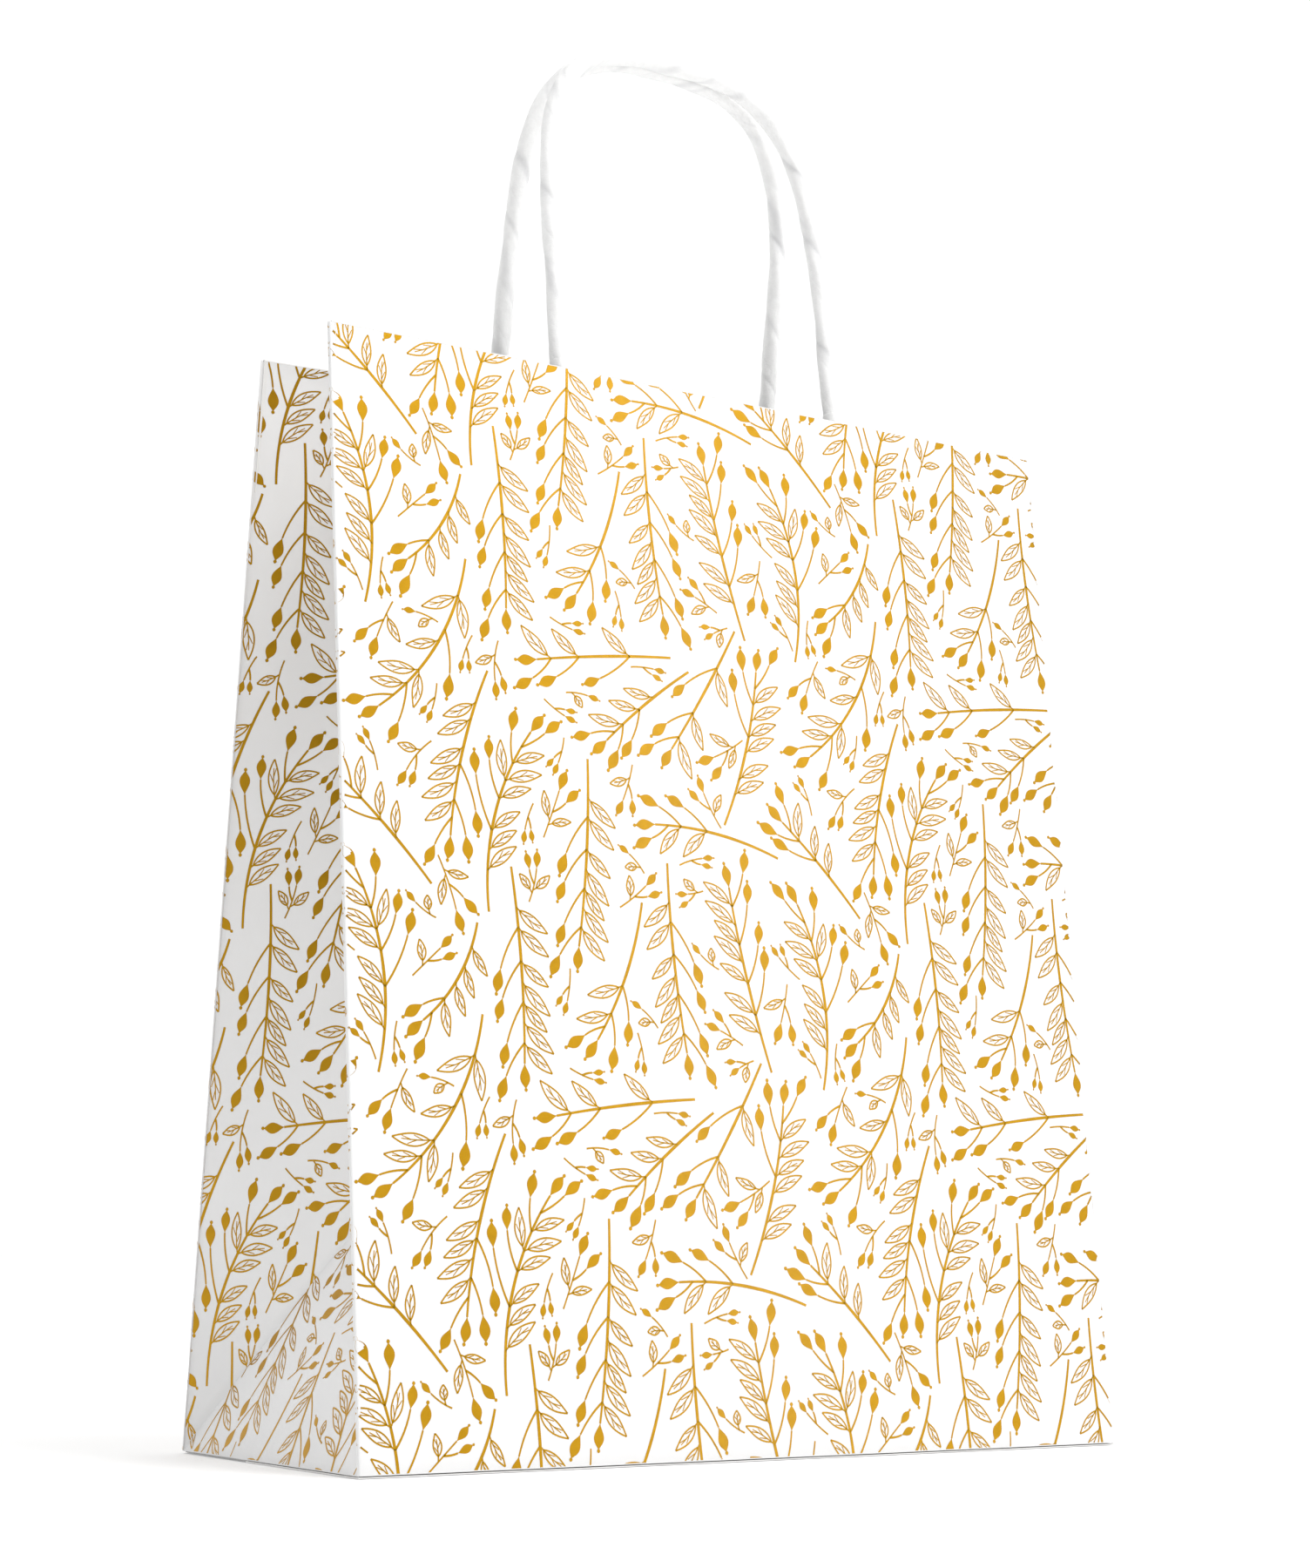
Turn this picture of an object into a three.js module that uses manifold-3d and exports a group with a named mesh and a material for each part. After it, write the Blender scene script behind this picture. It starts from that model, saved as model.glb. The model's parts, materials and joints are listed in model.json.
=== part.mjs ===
// A paper gift bag with two twisted-paper handles, standing open on its block bottom.
// The bag is one printed sheet folded into panels; each panel between two creases is its own mesh.
// Millimetres, +Z up, X across the front panel, -Y towards the front, origin under the middle of the base.
import * as THREE from "three";
import { mergeVertices } from "three/addons/utils/BufferGeometryUtils.js";
import Module from "manifold-3d";

const wasm = await Module();
wasm.setup();

// ---- Driving dimensions ----

// The sheet
const bagWidth = 260; // outside width of the front and back panels
const bagDepth = 110; // outside depth at the base, which is also the width of a flat gusset
const panelLength = 320; // base crease to top edge, measured along a panel
const mouthDepth = 44.6; // outside depth at the top edge as the bag stands
const paper = 0.3; // thickness of the sheet and of the patch plies
const layerGap = 0.3; // clearance between layers that lie on each other
const creaseGap = 1; // clearance at the creases of a gusset, along its edges

// Gussets and base
const creaseHeight = 68; // where the two diagonal creases of a gusset meet, above the base
const bottomOverlap = 24; // how far the two bottom flaps overlap
const joggleRun = 1.7; // length of the step where the back flap climbs onto the front one
const joggleClearance = 0.8; // between the front flap's free edge and that step
const endFlapLength = 50;
const endFlapTipWidth = 16;
const seamWidth = 16; // glued flap that closes the sheet into a tube
const seamInset = 3; // from the panel's side edge to the seam flap

// Turned-over top
const hemHeight = 40;
const hemInset = 8; // from a panel's side edge to the end of its hem
const gussetHemStart = 0.14; // share of the gusset's half width left bare next to the panel
const gussetHemEnd = 0.95; // share of the half width where the hem stops short of the centre crease

// Handles
const patchWidth = 152;
const patchHeight = 45;
const patchDrop = 4; // from the top edge down to the patches
const cordDiameter = 5.6;
const cordSpacing = 102; // between the two legs of a loop at the top edge
const loopHeight = 112; // middle of the cord at the top of the arch, above the pivot
const pressedCordWidth = 7.6; // the glued ends are pressed flat
const pressedCordThickness = 3.2;
const gluedLength = 36;
const bumpFlank = 4; // width of the sloping side of the inner ply where it passes over a cord
const pivotClearance = 0.4; // between the top edge and the loops as they swing

// ---- Derived places ----

const halfWidth = bagWidth / 2;
const halfDepth = bagDepth / 2;
const wallFoot = paper + layerGap; // walls stand on the bottom flaps
const lean = Math.asin((bagDepth - mouthDepth) / 2 / panelLength);
const layerPitch = paper + layerGap;
const hemFace = layerPitch; // distances from a panel's outer face, inwards
const outerPlyFace = hemFace + layerPitch;
const cordFace = outerPlyFace + layerPitch;
const pivotDepth = cordFace + pressedCordThickness / 2;
const pivotHeight = panelLength + cordDiameter / 2 + pivotClearance;

// ---- Materials ----

const paperLook = { roughness: 0.55, metalness: 0 };
const whitePaper = () => new THREE.MeshStandardMaterial({ color: 0xf7f6f4, ...paperLook });
const innerPaper = () => new THREE.MeshStandardMaterial({ color: 0xf1efeb, ...paperLook });
const patchPaper = () => new THREE.MeshStandardMaterial({ color: 0xeceae5, ...paperLook });
const cordPaper = () => new THREE.MeshStandardMaterial({ color: 0xf3f2f0, roughness: 0.8, metalness: 0 });

function named(name, geometry, material) {
  const mesh = new THREE.Mesh(geometry, material);
  mesh.name = name;
  return mesh;
}

// ---- Joining solids ----

function solidOf(geometry) {
  const bare = geometry.clone();
  bare.deleteAttribute("normal");
  bare.deleteAttribute("uv");
  const merged = mergeVertices(bare, 1e-4);
  const vertProperties = merged.attributes.position.array;
  const triVerts = new Uint32Array(merged.index.array);
  return new wasm.Manifold(new wasm.Mesh({ numProp: 3, vertProperties, triVerts }));
}

function geometryOf(solid) {
  const mesh = solid.getMesh();
  const geometry = new THREE.BufferGeometry();
  geometry.setAttribute("position", new THREE.BufferAttribute(mesh.vertProperties, 3));
  geometry.setIndex(new THREE.BufferAttribute(mesh.triVerts, 1));
  geometry.computeVertexNormals();
  return geometry;
}

// ---- Sheet shapes ----

// A flat rectangle of paper in a wall's frame: x across, y inwards from the outer face, z up the panel.
function wallSheet(xMin, xMax, face, zMin, zMax) {
  const sheet = new THREE.BoxGeometry(xMax - xMin, paper, zMax - zMin);
  return sheet.translate((xMin + xMax) / 2, face + paper / 2, (zMin + zMax) / 2);
}

// Splits the rear face of a box along the same diagonals as its front face, so that a twisted sheet made
// from it keeps its thickness. Each square of the rear face is stored as the triangles a b d and b c d.
function alignDiagonals(box) {
  const rear = box.groups[5];
  const index = box.index.array;
  for (let i = rear.start; i < rear.start + rear.count; i += 6) {
    const [a, b, d, , c] = index.slice(i, i + 6);
    index.set([a, b, c, a, c, d], i);
  }
  return box;
}

// A sheet spanned between four corners. u runs along the bottom edge and v up the sides.
// shift moves it sideways towards the bag's inside, as a layer glued to the first one.
function spannedSheet(corners, inside, shift = 0, uRange = [0, 1], vRange = [0, 1]) {
  const [bottomStart, bottomEnd, topStart, topEnd] = corners;
  const sheet = alignDiagonals(new THREE.BoxGeometry(1, 1, paper, 4, 12, 1)).translate(0.5, 0.5, 0);
  const place = sheet.attributes.position;
  for (let i = 0; i < place.count; i++) {
    const u = THREE.MathUtils.lerp(...uRange, place.getX(i));
    const v = THREE.MathUtils.lerp(...vRange, place.getY(i));
    const bottom = bottomStart.clone().lerp(bottomEnd, u);
    const top = topStart.clone().lerp(topEnd, u);
    const start = bottomStart.clone().lerp(topStart, v);
    const end = bottomEnd.clone().lerp(topEnd, v);
    const normal = end.sub(start).cross(top.clone().sub(bottom)).normalize();
    const side = Math.sign(normal.dot(inside));
    const point = bottom.lerp(top, v).addScaledVector(normal, place.getZ(i) + side * shift);
    place.setXYZ(i, point.x, point.y, point.z);
  }
  return sheet;
}

// A flat outline given as [x, y] points, made into a sheet that lies at height z.
function flatSheet(outline, z) {
  const shape = new THREE.Shape(outline.map(([x, y]) => new THREE.Vector2(x, y)));
  return new THREE.ExtrudeGeometry(shape, { depth: paper, bevelEnabled: false }).translate(0, 0, z);
}

// ---- Base ----

function bottomFlaps() {
  const frontEdge = bottomOverlap / 2;
  const stepStart = frontEdge + joggleClearance;
  const stepEnd = stepStart + joggleRun;
  const front = new THREE.BoxGeometry(bagWidth, halfDepth + frontEdge, paper);
  front.translate(0, (frontEdge - halfDepth) / 2, paper / 2);
  const profile = new THREE.Shape([
    new THREE.Vector2(halfDepth, 0),
    new THREE.Vector2(halfDepth, paper),
    new THREE.Vector2(stepEnd, paper),
    new THREE.Vector2(stepStart, paper + layerPitch),
    new THREE.Vector2(-frontEdge, paper + layerPitch),
    new THREE.Vector2(-frontEdge, layerPitch),
    new THREE.Vector2(stepStart, layerPitch),
    new THREE.Vector2(stepEnd, 0),
  ]);
  const between = bagWidth - 4 * wallFoot; // the step fits between the two base triangles
  const back = new THREE.ExtrudeGeometry(profile, { depth: between, bevelEnabled: false });
  back.translate(0, 0, -between / 2);
  const flaps = new THREE.Group();
  const backFlap = named("bottom_flap_back", back, whitePaper());
  backFlap.rotation.set(Math.PI / 2, Math.PI / 2, 0);
  flaps.add(named("bottom_flap_front", front, whitePaper()), backFlap);
  return flaps;
}

// The end flap's outline, drawn for the left end and turned round for the right one.
function endFlap(name) {
  const outer = -halfWidth + 2 * wallFoot; // clear of the base triangle, which leans in above it
  const inner = outer + endFlapLength;
  const wide = halfDepth - 2 * wallFoot;
  const tip = endFlapTipWidth / 2;
  const outline = [[outer, -wide], [inner, -tip], [inner, tip], [outer, wide]];
  return named(name, flatSheet(outline, 2 * layerPitch), innerPaper());
}

// ---- Gussets: the left side as drawn, and the right side turned half a turn ----

// The gusset's fold, in the frame of the left side. Its centre crease lies in the plane y = 0.
const spread = Math.hypot(1, Math.tan(lean));

function foldPoint(up) {
  const reach = halfDepth - up * Math.sin(lean);
  const inward = Math.sqrt(Math.max(0, halfDepth ** 2 - (reach * spread) ** 2));
  const height = up * Math.cos(lean) - reach * Math.tan(lean);
  return new THREE.Vector3(-halfWidth + inward, 0, height);
}

const creasePoint = foldPoint(creaseHeight);
const foldTop = foldPoint(panelLength);

function panelEdge(up) {
  const inset = wallFoot + paper / 2;
  const y = -halfDepth + up * Math.sin(lean) + inset;
  return new THREE.Vector3(-halfWidth + paper / 2, y, up * Math.cos(lean));
}

function gussetCorners(mirror) {
  const centre = (point, rise) => new THREE.Vector3(point.x, -(paper + layerGap) / 2, point.z + rise);
  const corners = [panelEdge(2 * creaseGap), centre(creasePoint, creaseGap), panelEdge(panelLength), centre(foldTop, 0)];
  corners.forEach((corner) => (corner.y *= mirror));
  return corners;
}

function gussetHalf(name, mirror, inside) {
  const corners = gussetCorners(mirror);
  const hemShare = 1 - hemHeight / (panelLength - creaseHeight);
  const half = new THREE.Group();
  half.add(named(name, spannedSheet(corners, inside), whitePaper()));
  const hem = spannedSheet(corners, inside, layerPitch, [gussetHemStart, gussetHemEnd], [hemShare, 1]);
  half.add(named(name + "_hem", hem, innerPaper()));
  return half;
}

// The triangle between the base and the two diagonal creases, leaning in with the fold.
function baseTriangle(name) {
  const halfBase = halfDepth - 2 * wallFoot;
  const apex = creaseHeight * (halfBase / halfDepth);
  const outline = new THREE.Shape([
    new THREE.Vector2(-halfBase, 0),
    new THREE.Vector2(halfBase, 0),
    new THREE.Vector2(0, apex),
  ]);
  const sheet = new THREE.ExtrudeGeometry(outline, { depth: paper, bevelEnabled: false });
  const triangle = named(name, sheet, whitePaper());
  triangle.rotation.set(Math.PI / 2, Math.PI / 2, 0);
  const tilt = new THREE.Group();
  tilt.add(triangle);
  tilt.position.x = -halfWidth;
  tilt.rotation.y = Math.asin((creasePoint.x + halfWidth) / creaseHeight);
  return tilt;
}

function side(name, firstHalf, secondHalf) {
  const inside = new THREE.Vector3(1, 0, 0);
  const walls = new THREE.Group();
  walls.add(gussetHalf(`${name}_gusset_${firstHalf}`, 1, inside));
  walls.add(gussetHalf(`${name}_gusset_${secondHalf}`, -1, inside));
  walls.add(baseTriangle(`${name}_base_triangle`));
  walls.position.z = wallFoot;
  const whole = new THREE.Group();
  whole.add(walls, endFlap(`${name}_end_flap`));
  return whole;
}

// ---- Walls: panel, hem, patch and handle, as seen from inside the wall's own frame ----

function innerPly(name) {
  const flat = cordFace;
  const raised = cordFace + pressedCordThickness + layerGap;
  const crest = pressedCordWidth / 2 + layerGap;
  const line = [[-patchWidth / 2, flat]];
  for (const x of [-cordSpacing / 2, cordSpacing / 2]) {
    line.push([x - crest - bumpFlank, flat], [x - crest, raised], [x + crest, raised], [x + crest + bumpFlank, flat]);
  }
  line.push([patchWidth / 2, flat]);
  const back = line.map(([x, y]) => [x, y + paper]).reverse();
  const shape = new THREE.Shape([...line, ...back].map(([x, y]) => new THREE.Vector2(x, y)));
  const ply = new THREE.ExtrudeGeometry(shape, { depth: patchHeight, bevelEnabled: false });
  return named(name, ply.translate(0, 0, panelLength - patchDrop - patchHeight), patchPaper());
}

function gluedEnd(name, x) {
  const radius = pressedCordThickness / 2;
  const reach = pressedCordWidth / 2 - radius;
  const section = new THREE.Shape();
  section.absarc(reach, 0, radius, -Math.PI / 2, Math.PI / 2);
  section.absarc(-reach, 0, radius, Math.PI / 2, (3 * Math.PI) / 2);
  const depth = gluedLength + patchDrop;
  const end = new THREE.ExtrudeGeometry(section, { depth, bevelEnabled: false, curveSegments: 6 });
  return named(name, end.translate(x, pivotDepth, panelLength - depth), cordPaper());
}

// The loop is a squared arch: straight legs, round shoulders and a flat crown, evenly spaced stations.
function loopPath() {
  const crown = 3; // powers of the arch, across and up
  const legs = 5;
  const stations = 44;
  const fine = [];
  for (let i = 0; i <= 1200; i++) {
    const turn = Math.PI * (1 - i / 1200);
    const across = Math.sign(Math.cos(turn)) * Math.abs(Math.cos(turn)) ** (2 / crown);
    const up = Math.abs(Math.sin(turn)) ** (2 / legs);
    fine.push(new THREE.Vector3((cordSpacing / 2) * across, 0, i % 1200 ? loopHeight * up : 0));
  }
  const outline = new THREE.CurvePath();
  for (let i = 1; i < fine.length; i++) outline.add(new THREE.LineCurve3(fine[i - 1], fine[i]));
  return new THREE.CatmullRomCurve3(outline.getSpacedPoints(stations));
}

// The free cord, rounded where it bends at the top edge. Its frame is the pivot of the swing.
function handleLoop(name) {
  const radius = cordDiameter / 2;
  const sides = 10;
  const section = new THREE.Shape();
  for (let i = 0; i < sides; i++) {
    const turn = (2 * Math.PI * i) / sides;
    const corner = [radius * Math.cos(turn), radius * Math.sin(turn)];
    if (i === 0) section.moveTo(...corner);
    else section.lineTo(...corner);
  }
  const cord = new THREE.ExtrudeGeometry(section, { steps: 48, extrudePath: loopPath() });
  let whole = solidOf(cord);
  for (const x of [-cordSpacing / 2, cordSpacing / 2]) {
    whole = whole.add(solidOf(new THREE.SphereGeometry(radius, 12, 8).translate(x, 0, 0)));
  }
  const loop = named(name, geometryOf(whole), cordPaper());
  const apart = cordDiameter / 2 + layerGap / 2;
  const pivotFromMiddle = halfDepth - pivotHeight * Math.sin(lean) - pivotDepth * Math.cos(lean);
  const loopLean = Math.asin((pivotFromMiddle - apart) / loopHeight);
  loop.position.set(0, pivotDepth, pivotHeight);
  loop.rotation.x = lean - loopLean;
  return loop;
}

function seamFlap(name) {
  const xMax = halfWidth - seamInset;
  const zMax = panelLength - hemHeight - 2 * layerGap;
  return named(name, wallSheet(xMax - seamWidth, xMax, hemFace, creaseGap, zMax), innerPaper());
}

function wall(name) {
  const patchTop = panelLength - patchDrop;
  const hemEnd = halfWidth - hemInset;
  const outerPly = wallSheet(-patchWidth / 2, patchWidth / 2, outerPlyFace, patchTop - patchHeight, patchTop);
  const hem = wallSheet(-hemEnd, hemEnd, hemFace, panelLength - hemHeight, panelLength);
  const parts = new THREE.Group();
  parts.add(
    named(`${name}_panel`, wallSheet(-halfWidth, halfWidth, 0, 0, panelLength), whitePaper()),
    named(`${name}_hem`, hem, innerPaper()),
    named(`${name}_patch_outer_ply`, outerPly, patchPaper()),
    innerPly(`${name}_patch_inner_ply`),
    gluedEnd(`${name}_cord_end_left`, -cordSpacing / 2),
    gluedEnd(`${name}_cord_end_right`, cordSpacing / 2),
    handleLoop(`${name}_handle_loop`),
  );
  parts.position.set(0, -halfDepth, wallFoot);
  parts.rotation.x = -lean;
  const whole = new THREE.Group();
  whole.add(parts);
  return whole;
}

// ---- The whole bag ----

const giftBag = new THREE.Group();
const frontWall = wall("front");
const backWall = wall("back");
backWall.children[0].add(seamFlap("side_seam_flap"));
backWall.rotation.z = Math.PI;
const leftSide = side("left", "front", "back");
const rightSide = side("right", "back", "front");
rightSide.rotation.z = Math.PI;
giftBag.add(bottomFlaps(), leftSide, rightSide, frontWall, backWall);

export default giftBag;
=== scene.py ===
"""The looks of a paper gift bag with twisted paper handles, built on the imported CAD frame.

Working lengths are millimetres, and become metres where a mesh is made.
A wall's own frame has x across the panel, y inwards from its outer face and z up the panel.
The print is laid out on the unfolded sheet: s runs round the bag from the back left edge, t up from the base.
"""

import json
import math
import random

import bmesh
import bpy
import numpy as np
from mathutils import Matrix, Vector


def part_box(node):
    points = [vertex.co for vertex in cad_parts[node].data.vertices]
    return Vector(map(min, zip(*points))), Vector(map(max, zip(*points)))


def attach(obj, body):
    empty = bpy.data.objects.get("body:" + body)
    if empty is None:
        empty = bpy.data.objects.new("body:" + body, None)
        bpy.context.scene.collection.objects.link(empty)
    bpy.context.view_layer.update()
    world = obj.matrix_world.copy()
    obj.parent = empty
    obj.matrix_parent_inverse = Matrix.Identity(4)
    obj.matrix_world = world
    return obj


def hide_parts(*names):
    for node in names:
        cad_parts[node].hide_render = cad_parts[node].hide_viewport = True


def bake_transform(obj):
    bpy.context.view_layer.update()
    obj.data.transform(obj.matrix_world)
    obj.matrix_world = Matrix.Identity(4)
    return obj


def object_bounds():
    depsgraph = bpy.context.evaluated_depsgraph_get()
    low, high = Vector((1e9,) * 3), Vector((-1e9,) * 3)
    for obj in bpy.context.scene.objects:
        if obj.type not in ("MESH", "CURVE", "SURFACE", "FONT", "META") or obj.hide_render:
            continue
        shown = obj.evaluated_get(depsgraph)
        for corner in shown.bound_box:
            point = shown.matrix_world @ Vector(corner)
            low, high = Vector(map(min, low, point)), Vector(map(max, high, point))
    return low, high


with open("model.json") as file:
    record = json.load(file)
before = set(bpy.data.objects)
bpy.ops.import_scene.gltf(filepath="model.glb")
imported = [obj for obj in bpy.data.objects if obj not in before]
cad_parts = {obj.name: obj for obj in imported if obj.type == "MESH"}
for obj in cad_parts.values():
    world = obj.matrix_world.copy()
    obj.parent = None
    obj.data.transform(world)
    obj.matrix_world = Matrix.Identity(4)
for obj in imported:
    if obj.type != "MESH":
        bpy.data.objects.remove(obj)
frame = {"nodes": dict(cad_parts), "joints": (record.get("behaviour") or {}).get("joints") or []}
cad_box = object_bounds()

# ---- Sizes, in millimetres ----

MM = 0.001
panel_low, panel_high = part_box("front_panel")
HALF_WIDTH = panel_high.x / MM
HALF_DEPTH = -panel_low.y / MM
HINGES = {j["name"]: Vector(j["pos_m"]) for j in frame["joints"]}
TILT = HINGES["front_panel_tilt"] / MM
SWING = HINGES["front_handle_swing"] / MM
PANEL = 320.0  # base crease to top edge
PAPER = 0.3
LAYER = 0.6  # from one layer of paper to the next
OUTER_PLY_DEPTH = 2 * LAYER + PAPER / 2  # middle of each sheet below its wall's outer face
INNER_PLY_DEPTH = 3 * LAYER + PAPER / 2
SEAM_DEPTH = LAYER + PAPER / 2
SEAM_WIDTH = 16.0
SEAM_INSET = 3.0
FOOT = TILT.z  # the walls stand on the bottom flaps
PIVOT_DEPTH = 3.4  # the handle's pivot below a wall's outer face
FOLD_RADIUS = 0.3
HEM = 40.0
CREASE_HEIGHT = 68.0
CORD = 5.6
CORD_SPACING = 102.0
LOOP_HEIGHT = 112.0
PATCH_WIDTH = 152.0
PATCH_HEIGHT = 45.0
PATCH_DROP = 4.0
GLUED = 36.0
PRESSED_WIDTH = 7.6
PRESSED_THICKNESS = 3.2
FOIL_LIFT = 0.035  # foil above the paper, so that neither cuts through the other
CORNER = 0.5  # radius of the middle surface where the sheet turns from a panel to a gusset
CREASE_GAP = 0.45  # a gusset's sheet ends this short of its panel and of the top edge
PRINT_FOOT = 0.3  # print above the base crease
PRINT_TOP = 0.5  # print below the top edge
PRINT_WRAP = 0.28  # print round the corner of a panel

to_pivot = SWING - TILT
LEAN = math.atan2(to_pivot.y, to_pivot.z) - math.atan2(PIVOT_DEPTH, math.hypot(to_pivot.y, to_pivot.z))
PIVOT_UP = to_pivot.y * math.sin(LEAN) + to_pivot.z * math.cos(LEAN)
LEFT_EDGE = 2 * HALF_DEPTH  # s of the front panel's left edge
RIGHT_EDGE = LEFT_EDGE + 2 * HALF_WIDTH
BACK_EDGE = RIGHT_EDGE + 2 * HALF_DEPTH
GIRTH = BACK_EDGE + 2 * HALF_WIDTH


# ---- Camera ----


def add_camera():
    heading, pitch, roll = 0.5820, 0.1600, 0.0047
    level = math.cos(pitch)
    forward = Vector((math.sin(heading) * level, math.cos(heading) * level, math.sin(pitch)))
    right = Vector((math.cos(heading), -math.sin(heading), 0))
    up = right.cross(forward)
    turned_right = right * math.cos(roll) + up * math.sin(roll)
    turned_up = up * math.cos(roll) - right * math.sin(roll)
    camera = bpy.data.objects.new("camera", bpy.data.cameras.new("camera"))
    bpy.context.scene.collection.objects.link(camera)
    rotation = Matrix((turned_right, turned_up, -forward)).transposed()
    camera.matrix_world = Matrix.Translation((-0.48115, -0.72567, 0.05971)) @ rotation.to_4x4()
    camera.data.lens = 65.6
    camera.data.clip_start = 0.05
    bpy.context.scene.camera = camera


add_camera()


# ---- Materials ----


class Look:
    """A Principled material and the few node patterns that the bag's materials share."""

    def __init__(self, name, **sockets):
        self.material = bpy.data.materials.new(name)
        self.material.use_nodes = True
        self.nodes = self.material.node_tree.nodes
        self.links = self.material.node_tree.links
        self.shader = self.nodes["Principled BSDF"]
        self.place = self.nodes.new("ShaderNodeTexCoord").outputs["Object"]
        for socket, value in sockets.items():
            self.shader.inputs[socket.replace("_", " ")].default_value = value

    def noise(self, scale, detail=2.0, stretch=(1, 1, 1)):
        mapping = self.nodes.new("ShaderNodeMapping")
        mapping.inputs["Scale"].default_value = stretch
        noise = self.nodes.new("ShaderNodeTexNoise")
        noise.inputs["Scale"].default_value = scale
        noise.inputs["Detail"].default_value = detail
        self.links.new(self.place, mapping.inputs["Vector"])
        self.links.new(mapping.outputs["Vector"], noise.inputs["Vector"])
        return noise.outputs["Fac"]

    def attribute(self, name):
        node = self.nodes.new("ShaderNodeAttribute")
        node.attribute_name = name
        return node.outputs["Fac"]

    def ramp(self, value, low, high, start=0.3, end=0.7):
        node = self.nodes.new("ShaderNodeMapRange")
        for socket, number in (("From Min", start), ("From Max", end), ("To Min", low), ("To Max", high)):
            node.inputs[socket].default_value = number
        self.links.new(value, node.inputs["Value"])
        return node.outputs["Result"]

    def mix(self, share, first, second):
        node = self.nodes.new("ShaderNodeMix")
        node.data_type = "RGBA"
        self.links.new(share, node.inputs["Factor"])
        for socket, colour in ((node.inputs[6], first), (node.inputs[7], second)):
            if isinstance(colour, bpy.types.NodeSocket):
                self.links.new(colour, socket)
            else:
                socket.default_value = (*colour, 1)
        return node.outputs[2]

    def colour(self, value):
        self.links.new(value, self.shader.inputs["Base Color"])

    def roughness(self, value):
        self.links.new(value, self.shader.inputs["Roughness"])

    def bump(self, *layers):
        """Each layer is (height, distance in metres)."""
        normal = None
        for height, distance in layers:
            node = self.nodes.new("ShaderNodeBump")
            node.inputs["Distance"].default_value = distance
            self.links.new(height, node.inputs["Height"])
            if normal:
                self.links.new(normal, node.inputs["Normal"])
            normal = node.outputs["Normal"]
        self.links.new(normal, self.shader.inputs["Normal"])


def paper_look(name, light, shade, gloss, grain):
    """Paper: mottled in tone, finely grained, gently cockled, and a little darker and ridged along its folds.
    """
    look = Look(name)
    tone = look.mix(look.ramp(look.noise(38, 5), 0, 1), light, shade)
    fibres = look.mix(look.ramp(look.noise(700, 3, (1, 1, 0.3)), 0, 0.35), tone, shade)
    fold = look.attribute("fold")
    # a little darker within a millimetre or two of each fold and sheet edge
    fold_tone = tuple(0.93 * channel for channel in shade)
    look.colour(look.mix(look.ramp(fold, 0, 0.8, 0, 1), fibres, fold_tone))
    look.roughness(look.ramp(look.noise(160, 4), gloss, gloss + 0.16))
    cockle = look.noise(13, 2)
    fine = look.noise(1500, 2)
    look.bump((cockle, 0.0012), (fine, grain), (fold, 0.00012))
    return look.material


def cord_look():
    """Twisted paper: matt white, with fibres along it, and painted shade in the grooves of its twist."""
    look = Look("twisted_paper")
    body = look.mix(look.ramp(look.noise(420, 4), 0, 1), (0.86, 0.86, 0.855), (0.81, 0.81, 0.805))
    # painted shade: grey where the cord's creases are deepest, over the real grooves in its shape
    crease_shade = look.ramp(look.attribute("crease_shade"), 0, 1, 0.1, 1)
    look.colour(look.mix(crease_shade, body, (0.66, 0.66, 0.665)))
    look.roughness(look.ramp(look.noise(300, 3), 0.72, 0.9))
    look.bump((look.noise(1900, 3), 0.00008), (look.noise(500, 2), 0.00015))
    return look.material


def foil_look():
    """Hot-stamped gold: metal with the paper's grain under it and a slightly uneven burnish."""
    look = Look("gold_foil", Metallic=1.0, Coat_Weight=0.16, Coat_Roughness=0.15)
    tone = look.ramp(look.noise(240, 4), 0, 1)
    look.colour(look.mix(tone, (0.49, 0.262, 0.009), (0.44, 0.232, 0.007)))
    look.roughness(look.ramp(look.noise(420, 3), 0.36, 0.44))
    look.bump((look.noise(13, 2), 0.0012), (look.noise(1500, 2), 0.000012))
    return look.material


printed_paper = paper_look("printed_paper", (0.80, 0.80, 0.80), (0.775, 0.775, 0.775), 0.46, 0.00001)
plain_paper = paper_look("plain_paper", (0.78, 0.775, 0.765), (0.74, 0.735, 0.72), 0.74, 0.00003)
patch_paper = paper_look("patch_paper", (0.74, 0.73, 0.71), (0.69, 0.68, 0.655), 0.8, 0.00005)
twisted_paper = cord_look()
gold_foil = foil_look()


# ---- Meshes ----


def unit(vectors):
    return vectors / np.maximum(np.linalg.norm(vectors, axis=-1, keepdims=True), 1e-12)


def add_piece(name, points, faces, material, sharp=None):
    """A mesh piece from points in millimetres in the row's frame."""
    mesh = bpy.data.meshes.new(name)
    mesh.from_pydata((np.asarray(points) * MM).tolist(), [], faces)
    mesh.materials.append(material)
    mesh.shade_smooth()
    if sharp:
        mesh.set_sharp_from_angle(angle=math.radians(sharp))
    piece = bpy.data.objects.new(name, mesh)
    bpy.context.scene.collection.objects.link(piece)
    return piece


def grid_faces(rows, columns, first=0, flipped=False, around=False):
    """Quads of a grid of points, stored row by row. around closes each row into a ring."""
    across = columns if around else columns - 1
    faces = []
    for i in range(rows - 1):
        for j in range(across):
            a, b = first + i * columns + j, first + i * columns + (j + 1) % columns
            quad = [a, b, b + columns, a + columns]
            faces.append(quad[::-1] if flipped else quad)
    return faces


def rim_faces(rows, columns, second):
    """Quads that join the borders of two equal grids, the second one starting at that index."""
    border = list(range(columns))
    border += [i * columns + columns - 1 for i in range(1, rows)]
    border += [(rows - 1) * columns + j for j in range(columns - 2, -1, -1)]
    border += [i * columns for i in range(rows - 2, 0, -1)]
    return [[a, a + second, b + second, b] for a, b in zip(border, border[1:] + border[:1])]


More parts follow.
